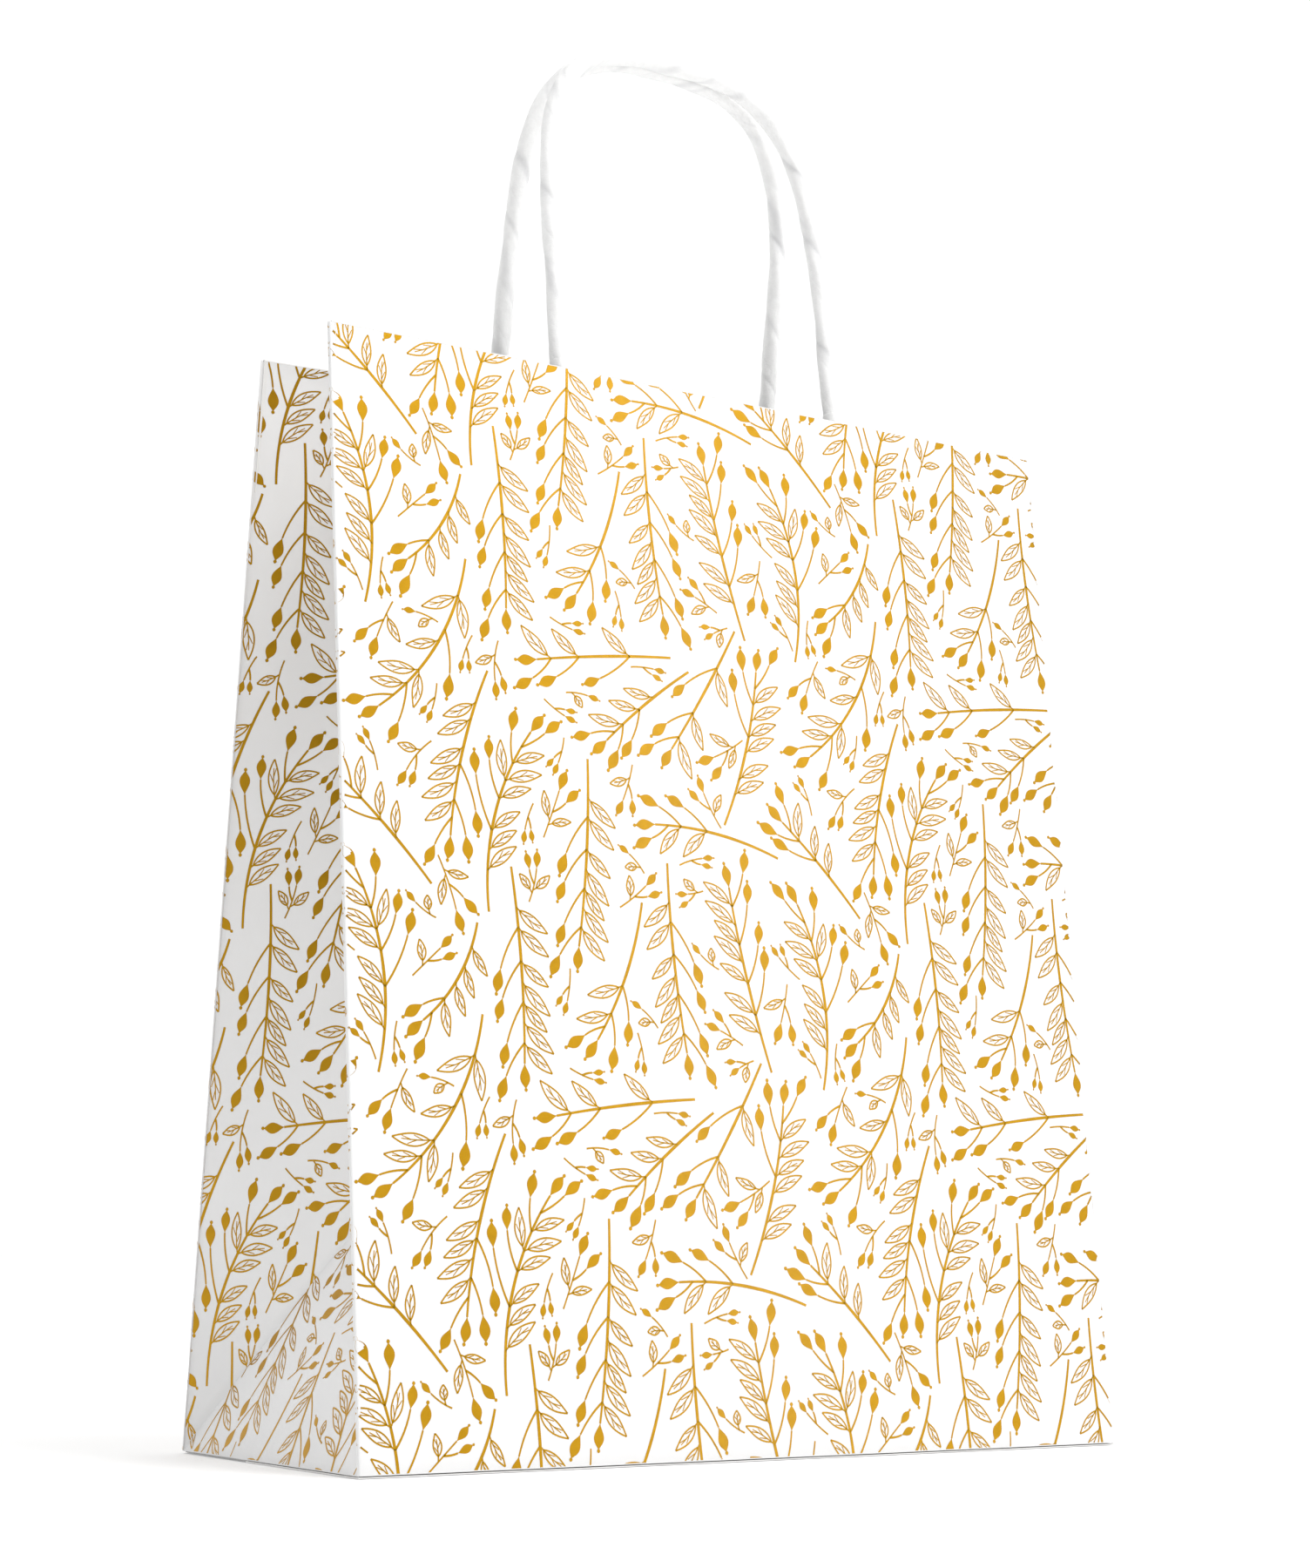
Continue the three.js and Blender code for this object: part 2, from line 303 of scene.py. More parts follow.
def sheet_piece(name, middle, material, fold=None):
    """Paper of its real thickness from a grid of points on its middle surface, rows going up.
    Its outer side is where across x up points. fold is how near each point is to a fold, 0 to 1."""
    rows, columns = middle.shape[:2]
    normal = unit(np.cross(np.gradient(middle, axis=1), np.gradient(middle, axis=0)))
    sides = [middle + normal * PAPER / 2, middle - normal * PAPER / 2]
    points = np.concatenate([side.reshape(-1, 3) for side in sides])
    count = rows * columns
    faces = grid_faces(rows, columns) + grid_faces(rows, columns, count, flipped=True)
    faces += rim_faces(rows, columns, count)
    piece = add_piece(name, points, faces, material, sharp=50)
    near = np.zeros((rows, columns)) if fold is None else fold
    attribute = piece.data.attributes.new("fold", "FLOAT", "POINT")
    attribute.data.foreach_set("value", np.concatenate([near.ravel()] * 2).astype(np.float32))
    return piece


def steps(start, end, size):
    return np.linspace(start, end, max(2, round(abs(end - start) / size) + 1))


def nearness(distance, reach=1.2):
    return np.exp(-np.abs(distance) / reach)


# ---- Walls ----


def in_wall(x, y, z, back):
    """Points in a wall's own frame as points in the row's frame."""
    x, y, z = np.broadcast_arrays(x, y, z)
    out_y = -HALF_DEPTH + y * math.cos(LEAN) + z * math.sin(LEAN)
    out_z = FOOT - y * math.sin(LEAN) + z * math.cos(LEAN)
    turn = -1 if back else 1
    return np.stack([turn * x, turn * out_y, out_z], axis=-1)


def panel_bow(x, z):
    """How far a panel's middle swells outwards: paper never stands quite flat between its creases."""
    wide = np.cos(np.pi * np.clip(x / (2 * HALF_WIDTH), -0.5, 0.5))
    tall = np.sin(np.pi * np.clip(z / PANEL, 0, 1)) ** 0.7
    ripple = 0.12 * np.sin(x / 31 + 1.3) * np.sin(z / 43 + 0.4)
    return wide * tall * (0.7 + ripple)


def panel_place(x, z, depth=0.0):
    """A panel's surface, this deep below its outer face, in the wall's frame. Beyond the corner the
    sheet turns inwards."""
    flat_end = HALF_WIDTH - CORNER - PAPER / 2
    over = np.maximum(np.abs(x) - flat_end, 0)
    angle = np.minimum(over / CORNER, np.pi / 2)
    straight = np.maximum(over - CORNER * np.pi / 2, 0)
    radius = CORNER + PAPER / 2 - depth
    place_x = np.sign(x) * (np.minimum(np.abs(x), flat_end) + radius * np.sin(angle))
    place_y = CORNER + PAPER / 2 - radius * np.cos(angle) + straight - panel_bow(x, z)
    return place_x, place_y


def panel_sheet(side, back):
    end = HALF_WIDTH + 0.45
    left_corner = steps(-end, -HALF_WIDTH + 0.65, 0.14)
    flat = steps(-HALF_WIDTH + 1.5, HALF_WIDTH - 1.5, 5)
    right_corner = steps(HALF_WIDTH - 0.65, end, 0.14)
    columns = np.concatenate([left_corner, flat, right_corner])
    rows = steps(0, PANEL - FOLD_RADIUS - PAPER / 2, 5)
    x, z = np.meshgrid(columns, rows)
    place_x, place_y = panel_place(x, z, PAPER / 2)
    grid = in_wall(place_x, place_y, z, back)
    fold = np.maximum(nearness(HALF_WIDTH - np.abs(x)), nearness(PANEL - z))
    return sheet_piece(f"{side}_panel_sheet", grid, printed_paper, np.maximum(fold, nearness(z)))


def folded_top(place, columns, low, high, turn_at):
    """Grid of the turned-over top: over the edge, then down the inside to the hem's raw edge.
    place(column, height, depth) gives the points. Rows run so that across x up points out of the fold."""
    angles = np.linspace(0, np.pi, 9)
    heights = list(turn_at + FOLD_RADIUS * np.sin(angles)) + list(steps(turn_at - 1, low, 4))
    depths = list(PAPER / 2 + FOLD_RADIUS * (1 - np.cos(angles)))
    depths += [PAPER / 2 + 2 * FOLD_RADIUS] * (len(heights) - len(depths))
    rows = [place(columns, np.full_like(columns, h), d) for h, d in zip(heights, depths)]
    near = [nearness(max(high - h, 0)) for h in heights]
    fold = np.repeat(np.array(near)[:, None], len(columns), axis=1)
    return np.array(rows), fold


def panel_hem(side, back):
    def place(x, z, depth):
        return in_wall(x, depth - panel_bow(x, z), z, back)

    columns = steps(-HALF_WIDTH + 0.9, HALF_WIDTH - 0.9, 4)
    turn_at = PANEL - FOLD_RADIUS - PAPER / 2
    grid, fold = folded_top(place, columns, PANEL - HEM, PANEL, turn_at)
    return sheet_piece(f"{side}_hem_fold", grid, plain_paper, fold)


def patch_sheets(side, back):
    """Two plies of paper that hold the cord ends. The inner one rises over each cord, puckered by glue."""
    top = PANEL - PATCH_DROP
    x, z = np.meshgrid(steps(-PATCH_WIDTH / 2, PATCH_WIDTH / 2, 1), steps(top - PATCH_HEIGHT, top, 2))
    lift = panel_bow(x, z)
    outer = sheet_piece(f"{side}_patch_outer_sheet", in_wall(x, OUTER_PLY_DEPTH - lift, z, back), patch_paper)
    from_cord = np.abs(np.abs(x) - CORD_SPACING / 2)
    climb = np.clip((PRESSED_WIDTH / 2 + 4.5 - from_cord) / 4.2, 0, 1)
    rise = (PRESSED_THICKNESS + 0.35) * climb**2 * (3 - 2 * climb)
    pucker = 0.16 * np.sin(z / 3.1 + np.sin(x / 5)) * nearness(from_cord - 7, 3) + 0.16
    from_sides = PATCH_WIDTH / 2 - np.abs(x)
    edge = np.minimum(from_sides, np.minimum(top - z, z - top + PATCH_HEIGHT))
    depth = INNER_PLY_DEPTH + rise + pucker * np.clip(edge / 3, 0, 1) - lift
    grid = in_wall(x, depth, z, back)
    inner = sheet_piece(f"{side}_patch_inner_sheet", grid, patch_paper, nearness(edge, 0.5))
    return outer, inner


def seam_sheet():
    end = HALF_WIDTH - SEAM_INSET
    start = end - SEAM_WIDTH
    x, z = np.meshgrid(steps(start, end, 1), steps(1, PANEL - HEM - 1.2, 4))
    edge = np.minimum(x - start, end - x)
    depth = SEAM_DEPTH + 0.05 * np.sin(z / 9) * np.sin(x / 3) - panel_bow(x, z)
    return sheet_piece("side_seam_sheet", in_wall(x, depth, z, True), plain_paper, nearness(edge, 0.5))


# ---- Twisted cords ----


def groove(phase, width):
    """1 along a line that winds round a cord, fading to 0 over this width. Both are in radians."""
    return np.exp(-(((np.mod(phase, 2 * np.pi) - np.pi) / width) ** 2))


def twist_profile(turn, along, seed):
    """(share of the radius, depth of crease 0 to 1) on a twisted paper cord: a long soft crease that winds
    round it, and finer ones that come and go. The depth also sets the painted shade in the cord's colour."""
    wander = 0.6 * np.sin(along / 9.3 + seed) + 0.4 * np.sin(along / 4.1 + 2 * seed)
    main = turn + 2 * np.pi * along / 31 + wander
    second = turn + 2 * np.pi * along / 22 + 1.7 - 0.7 * wander
    third = 2 * turn + 2 * np.pi * along / 14 + seed
    deep = groove(main, 0.68) * (0.75 + 0.25 * np.sin(along / 12 + seed))
    fine = groove(second, 0.4) * (0.5 + 0.5 * np.sin(along / 8.7 + 3 * seed))
    hair = groove(third, 0.3) * (0.4 + 0.4 * np.sin(along / 6.3 + 1.3 * seed))
    swell = 0.05 * np.sin(along / 7.1 + seed) + 0.03 * np.sin(3 * turn + along / 3.3)
    share = 1.01 + swell - 0.11 * deep - 0.06 * fine - 0.04 * hair
    return share, np.clip(0.8 * deep + 0.6 * fine + 0.4 * hair, 0, 1)


def tube_piece(name, path, plane_normal, half_sizes, seed, along_start=0.0):
    """A closed cord along a plane path. half_sizes is (in the plane, across it) at each point."""
    sides = 40
    tangent = unit(np.gradient(path, axis=0))
    across = np.broadcast_to(np.array(plane_normal, float), tangent.shape)
    inward = unit(np.cross(across, tangent))
    along = along_start + np.concatenate([[0], np.cumsum(np.linalg.norm(np.diff(path, axis=0), axis=1))])
    turn = np.linspace(0, 2 * np.pi, sides, endpoint=False)
    share, crease_shade = twist_profile(turn[None, :], along[:, None], seed)
    in_plane = (half_sizes[:, :1] * share) * np.cos(turn)
    out_plane = (half_sizes[:, 1:] * share) * np.sin(turn)
    rings = path[:, None] + inward[:, None] * in_plane[..., None] + across[:, None] * out_plane[..., None]
    count = len(path)
    points = np.concatenate([rings.reshape(-1, 3), path[:1], path[-1:]])
    faces = grid_faces(count, sides, around=True)
    last = (count - 1) * sides
    faces += [[j, count * sides, (j + 1) % sides] for j in range(sides)]
    faces += [[last + (j + 1) % sides, count * sides + 1, last + j] for j in range(sides)]
    faces = [face[::-1] for face in faces]
    piece = add_piece(name, points, faces, twisted_paper)
    # the crease depth, kept for the painted shade in the cord's colour
    attribute = piece.data.attributes.new("crease_shade", "FLOAT", "POINT")
    attribute.data.foreach_set("value", np.concatenate([crease_shade.ravel(), [0, 0]]).astype(np.float32))
    return piece


def rounded_ends(length, radius):
    """Stations from 0 to length, and the share of the radius at each, with round ends."""
    start = radius * (1 - np.cos(np.linspace(0, np.pi / 2, 8)))
    stations = np.concatenate([start, steps(radius, length - radius, 0.5)[1:-1], length - start[::-1]])
    from_end = np.minimum(stations, length - stations)
    short = np.clip(1 - from_end / radius, 0, 1)
    return stations, np.sqrt(np.maximum(1 - short**2, 0.0004))


def squared_arch(count):
    """Points across and up of the loop: straight legs, round shoulders and a flat crown, evenly spaced."""
    turn = np.pi * (1 - np.linspace(0, 1, 6001))
    x = CORD_SPACING / 2 * np.sign(np.cos(turn)) * np.abs(np.cos(turn)) ** (2 / 3)
    up = LOOP_HEIGHT * np.abs(np.sin(turn)) ** (2 / 5)
    up[[0, -1]] = 0
    lengths = np.concatenate([[0], np.cumsum(np.hypot(np.diff(x), np.diff(up)))])
    at = np.linspace(0, lengths[-1], count)
    return np.interp(at, lengths, x), np.interp(at, lengths, up)


def loop_path(back):
    """Middle line of a free loop, from one pivot end over the arch to the other, slightly uneven."""
    x, height = squared_arch(1201)
    away = np.sin(np.linspace(0, np.pi, 1201))
    x = x + 0.7 * away * np.sin(height / 21 + (2.0 if back else 0.4))
    apart = CORD / 2 + 0.15
    loop_lean = math.asin((-SWING.y - apart) / LOOP_HEIGHT)
    y, z = SWING.y + height * math.sin(loop_lean), SWING.z + height * math.cos(loop_lean)
    points = np.stack([x, y, z], axis=-1)
    normal = np.array([0, math.cos(loop_lean), -math.sin(loop_lean)])
    if back:
        points, normal = points * [-1, -1, 1], normal * [-1, -1, 1]
    lengths = np.concatenate([[0], np.cumsum(np.linalg.norm(np.diff(points, axis=0), axis=1))])
    return points, lengths, normal


def handle_cord(side, back):
    """The free loop. Its ends are round, about the pivots that they swing on."""
    line, lengths, normal = loop_path(back)
    length = lengths[-1]
    radius = CORD / 2
    stations, share = rounded_ends(length + 2 * radius, radius)
    at = stations - radius
    path = np.stack([np.interp(at, lengths, line[:, k]) for k in range(3)], axis=-1)
    first, last = unit(line[0] - line[1]), unit(line[-1] - line[-2])
    path += np.maximum(-at, 0)[:, None] * first + np.maximum(at - length, 0)[:, None] * last
    sizes = np.stack([share * radius, share * radius * 0.985], axis=-1)
    cord = tube_piece(f"{side}_handle_cord", path, normal, sizes, 1.9 if back else 0.7)
    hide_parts(f"{side}_handle_loop")
    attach(cord, f"{side}_handle")
    return cord


def cord_foot(side, back, x, name, seed):
    """A glued cord end: pressed flat between the plies, round again where it leaves over the top edge."""
    low = PANEL - GLUED - PATCH_DROP
    length = PIVOT_UP - low + 1.2
    stations, share = rounded_ends(length, 1.5)
    z = low + stations
    path = in_wall(np.full_like(z, x), np.full_like(z, PIVOT_DEPTH), z, back)
    opened = np.clip((z - PANEL + PATCH_DROP + 1) / 7, 0, 1)
    opened = opened**2 * (3 - 2 * opened)
    wide = (PRESSED_WIDTH / 2) * (1 - opened) + (CORD / 2) * opened
    thick = (PRESSED_THICKNESS / 2) * (1 - opened) + (CORD / 2) * opened
    normal = unit(in_wall(0, 1, 0, back) - in_wall(0, 0, 0, back))
    sizes = np.stack([share * wide, share * thick], axis=-1)
    foot = tube_piece(f"{side}_cord_foot_{name}", path, normal, sizes, seed)
    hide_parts(f"{side}_cord_end_{name}")
    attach(foot, f"{side}_wall")
    return foot


for side, back in (("front", False), ("back", True)):
    handle_cord(side, back)
for side, back in (("front", False), ("back", True)):
    cord_foot(side, back, -CORD_SPACING / 2, "left", 2.3 + back)
    cord_foot(side, back, CORD_SPACING / 2, "right", 4.1 + back)


# ---- Gussets ----


def fold_point(up):
    """Where the centre crease is at this height up the sheet, in the left side's frame."""
    spread = math.hypot(1, math.tan(LEAN))
    reach = HALF_DEPTH - up * math.sin(LEAN)
    inward = math.sqrt(max(0, HALF_DEPTH**2 - (reach * spread) ** 2))
    height = up * math.cos(LEAN) - reach * math.tan(LEAN)
    return np.array([-HALF_WIDTH + inward, 0, height + FOOT])


def panel_corner(up):
    y = -HALF_DEPTH + up * math.sin(LEAN) + CREASE_GAP
    return np.array([-HALF_WIDTH + PAPER / 2 + 0.05, y, FOOT + up * math.cos(LEAN) - 0.1])


GUSSET_CORNERS = [panel_corner(0), fold_point(CREASE_HEIGHT), panel_corner(PANEL), fold_point(PANEL)]
GUSSET_CORNERS[3][1] = GUSSET_CORNERS[1][1] = -0.02


def gusset_middle(u, v):
    """Middle surface of the left side's front half. u runs from the panel's edge to the centre crease, v up.
    The half is bowed towards its own panel, more so at the mouth."""
    low_start, low_end, top_start, top_end = GUSSET_CORNERS
    u, v = np.broadcast_arrays(u, v)
    u, v = u[..., None], v[..., None]
    point = (low_start * (1 - u) + low_end * u) * (1 - v) + (top_start * (1 - u) + top_end * u) * v
    along = (low_end - low_start) * (1 - v) + (top_end - top_start) * v
    upward = (top_start - low_start) * (1 - u) + (top_end - low_end) * u
    inside = unit(np.cross(along, upward))
    inside = inside * np.sign(inside[..., :1] + 1e-9)
    bow = 5.2 * np.sin(np.pi * u) * np.clip(v, 0, 1) ** 1.3
    return point + inside * bow


def gusset_inside(u, v):
    step = 1e-3
    across = gusset_middle(u + step, v) - gusset_middle(u - step, v)
    upward = gusset_middle(u, v + step) - gusset_middle(u, v - step)
    normal = unit(np.cross(across, upward))
    return normal * np.sign(normal[..., :1] + 1e-9)


def mirrored(points, right, rear):
    return points * [-1 if right else 1, -1 if rear else 1, 1]


def gusset_place(u, v, depth, right, rear):
    """A point of any gusset half, this deep below its outer face."""
    point = gusset_middle(u, v) + gusset_inside(u, v) * (depth - PAPER / 2)
    return mirrored(point, right, rear)


def blend_to_wall(piece, rear):
    """Bakes the piece's transform into its mesh."""
    start, end = in_wall(0, 22.2, 0, rear) * MM, in_wall(0, 1.2, 0, rear) * MM
    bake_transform(piece)


def gusset_half(side, half):
    right, rear = side == "right", half == "back"
    name = f"{side}_gusset_{half}"
    height = PANEL - CREASE_HEIGHT
    u, v = np.meshgrid(steps(0, 1, 1 / 28), steps(0, 1 - CREASE_GAP / height, 1 / 60))
    grid = gusset_place(u, v, PAPER / 2, right, rear)
    fold = nearness(np.minimum(HALF_DEPTH * np.minimum(u, 1 - u), height * np.minimum(v, 1 - v)))
    order = slice(None, None, -1) if right == rear else slice(None)
    sheet = sheet_piece(f"{name}_sheet", grid[:, order], printed_paper, fold[:, order])
    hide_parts(name)
    blend_to_wall(sheet, rear)

    def place(share, up, depth):
        return gusset_place(share, 1 - (PANEL - up) / height, depth, right, rear)

    columns = steps(0.03, 0.975, 1 / 24)
    turn_at = PANEL - FOLD_RADIUS - PAPER / 2
    grid, fold = folded_top(place, columns, PANEL - HEM, PANEL, turn_at)
    hem = sheet_piece(f"{name}_hem_fold", grid[:, order], plain_paper, fold)
    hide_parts(f"{name}_hem")
    blend_to_wall(hem, rear)


def triangle_place(s, t, depth, right):
    """The base triangle's surface, from the unfolded sheet: s from -1 to 1 along the base, t up it in mm."""
    corner, apex = GUSSET_CORNERS[0], GUSSET_CORNERS[1]
    s, t = np.broadcast_arrays(s, t)
    s, share = s[..., None], t[..., None] / CREASE_HEIGHT
    start = np.array([corner[0], 0, corner[2]])
    point = start + np.array([0, corner[1], 0]) * s + (apex - start) * share
    inside = unit(np.array([apex[2] - start[2], 0, start[0] - apex[0]]))
    swell = 0.8 * share * (1 - share) * (1 - np.abs(s)) * 4
    return mirrored(point + inside * (depth - PAPER / 2 - swell), right, False)


def base_triangle(side):
    right = side == "right"
    rows = steps(0, CREASE_HEIGHT - 0.6, 2)
    share, t = np.meshgrid(np.linspace(-1, 1, 41), rows)
    s = share * (1 - t / CREASE_HEIGHT)
    grid = triangle_place(s, t, PAPER / 2, right)
    order = slice(None, None, -1) if right else slice(None)
    fold = np.maximum(nearness(45 * (1 - np.abs(share)) * (1 - t / CREASE_HEIGHT)), nearness(t))
    sheet = sheet_piece(f"{side}_base_triangle_sheet", grid[:, order], printed_paper, fold[:, order])
    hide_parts(f"{side}_base_triangle")
    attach(sheet, "base")


for side, back in (("front", False), ("back", True)):
    made = [(panel_sheet(side, back), "panel", "printed_paper")]
    made.append((panel_hem(side, back), "hem", "plain_paper"))
    outer, inner = patch_sheets(side, back)
    made += [(outer, "patch_outer_ply", "patch_paper"), (inner, "patch_inner_ply", "patch_paper")]
    for piece, node, slot in made:
        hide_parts(f"{side}_{node}")
        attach(piece, f"{side}_wall")
seam = seam_sheet()
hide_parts("side_seam_flap")
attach(seam, "back_wall")
for side in ("left", "right"):
    gusset_half(side, "front")
    gusset_half(side, "back")
    base_triangle(side)


# ---- Bottom flaps: the CAD sheets, with paper on them ----

for name in ("bottom_flap_front", "bottom_flap_back", "left_end_flap", "right_end_flap"):
    flap = frame["nodes"][name]
    flap.data.materials.clear()
    flap.data.materials.append(plain_paper)


# ---- The print: sprigs of hips and leaves, drawn as strokes on the unfolded sheet ----


def curve(start, angle, length, bend, count):
    """Points of a line that turns evenly by bend, and its heading at each."""
    heading = angle + bend * np.linspace(0, 1, count)
    middle = (heading[:-1] + heading[1:]) / 2
    moves = length / (count - 1) * np.stack([np.cos(middle), np.sin(middle)], axis=-1)
    return np.array(start) + np.concatenate([[[0, 0]], np.cumsum(moves, axis=0)]), heading


def hip(start, angle, size):
    """A solid drop with a narrow neck and a round bead at its tip."""
    line, heading = curve(start, angle, 7.1 * size, 0.12, 12)
    share = np.linspace(0, 1, 12)
    width = 3.4 * size * np.sin(np.pi * np.clip(share, 0.03, 0.975) ** 1.3) ** 0.9
    bead, _ = curve(line[-1], heading[-1], 1.15 * size, 0, 5)
    bead_width = 1.1 * size * np.array([0.35, 0.9, 1.0, 0.85, 0.2])
    return [(line, width), (bead, bead_width)]


def stalked_hip(start, angle, reach, bend, size):
    stalk, heading = curve(start, angle, reach, bend, 9)
    return [(stalk, np.linspace(0.66, 0.54, 9))] + hip(stalk[-1], heading[-1], size)


def leaf(start, angle, length, width):
    """A pointed lens drawn in outline on a short stalk, with a midrib and three veins."""
    stalk, heading = curve(start, angle, 1.4, 0.1, 3)
    line, heading = curve(stalk[-1], heading[-1], length, 0.24, 13)
    share = np.linspace(0, 1, 13)
    half = width / 2 * np.sin(np.pi * share**0.85) ** 0.95
    normal = np.stack([-np.sin(heading), np.cos(heading)], axis=-1)
    strokes = [(stalk, np.full(3, 0.46))]
    for side in (-1, 1):
        strokes.append((line + side * half[:, None] * normal, np.full(13, 0.48)))
    strokes.append((line[:10], np.linspace(0.4, 0.28, 10)))
    for at, side in ((2, 1), (4, -1), (6, 1)):
        tip = line[at + 3] + side * half[at + 3] * 0.75 * normal[at + 3]
        strokes.append((np.array([line[at], (line[at] + tip) / 2, tip]), np.array([0.32, 0.3, 0.24])))
    return strokes


def stroke_quads(line, width):
    """Left and right border points of a stroke, and its quads."""
    direction = unit(np.gradient(line, axis=0))
    normal = np.stack([-direction[:, 1], direction[:, 0]], axis=-1)
    points = np.concatenate([line + normal * width[:, None] / 2, line - normal * width[:, None] / 2])
    count = len(line)
    return points, [[count + i, count + i + 1, i + 1, i] for i in range(count - 1)]


def border(strokes):
    return np.concatenate([stroke_quads(line, width)[0] for line, width in strokes])


def grow(plant, branch):
    """Adds a branch, unless it would touch the plant anywhere but near its own foot."""
    tips = border(branch)
    tips = tips[np.linalg.norm(tips - branch[0][0][0], axis=1) > 2.6]
    apart = np.linalg.norm(tips[:, None] - border(plant)[None], axis=-1)
    if apart.min() > 0.5:
        plant += branch


def sprig(rng, size):
    """A curved stem with leaves low down and stalked hips fanning out above."""
    stem, heading = curve((0, 0), 0, rng.uniform(46, 58) * size, rng.uniform(-0.8, 0.8), 30)
    width = np.concatenate([np.linspace(0.74, 0.98, 14), np.linspace(0.96, 0.64, 16)])
    plant = [(stem, width)] + hip(stem[-1], heading[-1], 0.95)
    side = rng.choice((-1, 1))
    for share in np.linspace(0.9, 0.2, 8 if size > 0.8 else 5):
        at = round(share * 29)
        side = -side
        turn = side * rng.uniform(0.6, 0.85)
        reach = (18 - 9 * share) * rng.uniform(0.85, 1.15) * size
        if share > 0.3:
            hip_size = rng.uniform(0.88, 1.02)
            grow(plant, stalked_hip(stem[at], heading[at] + turn, reach, -0.5 * turn, hip_size))
        for leaf_turn in (0.85 * turn, -0.85 * turn):
            length = rng.uniform(9.5, 12) * size**0.4
            grow(plant, leaf(stem[at], heading[at] + leaf_turn, length, 0.3 * length))
    return plant


def twig(rng, size):
    """A filler: a hip or two and a leaf on a short stem."""
    stem, heading = curve((0, 0), 0, rng.uniform(9, 17) * size, rng.uniform(-0.5, 0.5), 12)
    plant = [(stem, np.linspace(0.5, 0.48, 12))] + hip(stem[-1], heading[-1], 0.9 * size)
    side = rng.choice((-1, 1))
    grow(plant, stalked_hip(stem[6], heading[6] - side * 0.8, 5.5 * size, side * 0.4, 0.85 * size))
    grow(plant, leaf(stem[4], heading[4] + side * 0.75, 7.5 * size, 2.5))
    grow(plant, leaf(stem[3], heading[3] - side * 0.8, 6.5 * size, 2.3))
    return plant


TILE = (GIRTH / 5, 132.0)
CELL = 0.5
DESIGNS = 8  # different plants of each kind and size


def turned(points, angle, shift, flip):
    rotation = np.array([[math.cos(angle), math.sin(angle)], [-math.sin(angle), math.cos(angle)]])
    return (points[:, ::-1] if flip else points) @ rotation + shift


def disc(radius):
    reach = range(-radius, radius + 1)
    return [(i, j) for i in reach for j in reach if i * i + j * j <= radius * radius]


def fill_tile():
    """Sprigs thrown at random onto a tile that repeats, each kept if it is clear of the others."""
    rng = random.Random(23)
    shape = np.array([round(TILE[0] / CELL), round(TILE[1] / CELL)])
    taken = np.zeros(shape, bool)
    kept = []
    for make, size, tries, gap in (
        (sprig, 1.0, 6000, 2),
        (sprig, 0.82, 6000, 2),
        (sprig, 0.66, 7000, 2),
        (twig, 1.0, 8000, 2),
        (twig, 0.8, 8000, 2),
        (twig, 0.62, 8000, 2),
    ):
        designs = [make(rng, size) for _ in range(DESIGNS)]
        borders = [border(design) for design in designs]
        for _ in range(tries):
            number, flip = rng.randrange(DESIGNS), rng.random() < 0.5
            angle = rng.uniform(0, 2 * math.pi)
            shift = np.array([rng.uniform(0, TILE[0]), rng.uniform(0, TILE[1])])
            points = turned(borders[number], angle, shift, flip)
            cells = (np.floor(points / CELL).astype(int) % shape).T
            if taken[cells[0], cells[1]].any():
                continue
            kept += [(turned(line, angle, shift, flip), width) for line, width in designs[number]]
            for i, j in disc(gap):
                taken[(cells[0] + i) % shape[0], (cells[1] + j) % shape[1]] = True
    return kept


def tile_mesh(strokes):
    points, quads, first = [], [], 0
    for line, width in strokes:
        made, faces = stroke_quads(line, width)
        points.append(made)
        quads += [[first + corner for corner in face] for face in faces]
        first += len(made)
    return np.concatenate(points), np.array(quads)


def clipped_print(tile, low, high, cuts):
    """The print of one region as 2D points and faces. low and high are its box in s and t.
    Each cut is (point, direction kept)."""
    points, quads = tile
    rim = 40
    all_points, all_quads, first = [], [], 0
    for i in range(math.floor((low[0] - rim) / TILE[0]), math.ceil((high[0] + rim) / TILE[0])):
        for j in range(math.floor((low[1] - rim) / TILE[1]), math.ceil((high[1] + rim) / TILE[1])):
            moved = points + [i * TILE[0], j * TILE[1]]
            corners = moved[quads]
            inside = (corners.max(1) > low).all(1) & (corners.min(1) < high).all(1)
            if inside.any():
                all_points.append(moved)
                all_quads.append(quads[inside] + first)
                first += len(moved)
    mesh = bpy.data.meshes.new("flat_print")
    flat = np.concatenate(all_points)
    level = np.column_stack([flat, np.zeros(len(flat))])
    mesh.from_pydata(level.tolist(), [], np.concatenate(all_quads).tolist())
    work = bmesh.new()
    work.from_mesh(mesh)
    bpy.data.meshes.remove(mesh)
    loose = [v for v in work.verts if not v.link_faces]
    bmesh.ops.delete(work, geom=loose, context="VERTS")
    for point, kept in cuts:
        geometry = work.verts[:] + work.edges[:] + work.faces[:]
        away = (-kept[0], -kept[1], 0)
        bmesh.ops.bisect_plane(
            work, geom=geometry, plane_co=(*point, 0), plane_no=away, clear_outer=True, dist=1e-5
        )
    work.verts.index_update()
    places = np.array([v.co[:2] for v in work.verts]).reshape(-1, 2)
    faces = [[v.index for v in face.verts] for face in work.faces]
    work.free()
    return places, faces


def print_piece(name, tile, low, high, cuts, place):
    """place(s, t) gives points just above the paper. Faces keep their order from the flat sheet."""
    flat, faces = clipped_print(tile, np.array(low, float), np.array(high, float), cuts)
    piece = add_piece(name, place(flat[:, 0], flat[:, 1]), faces, gold_foil)
    return piece


def box_cuts(low, high):
    return [((low[0], 0), (1, 0)), ((high[0], 0), (-1, 0)), ((0, low[1]), (0, 1)), ((0, high[1]), (0, -1))]


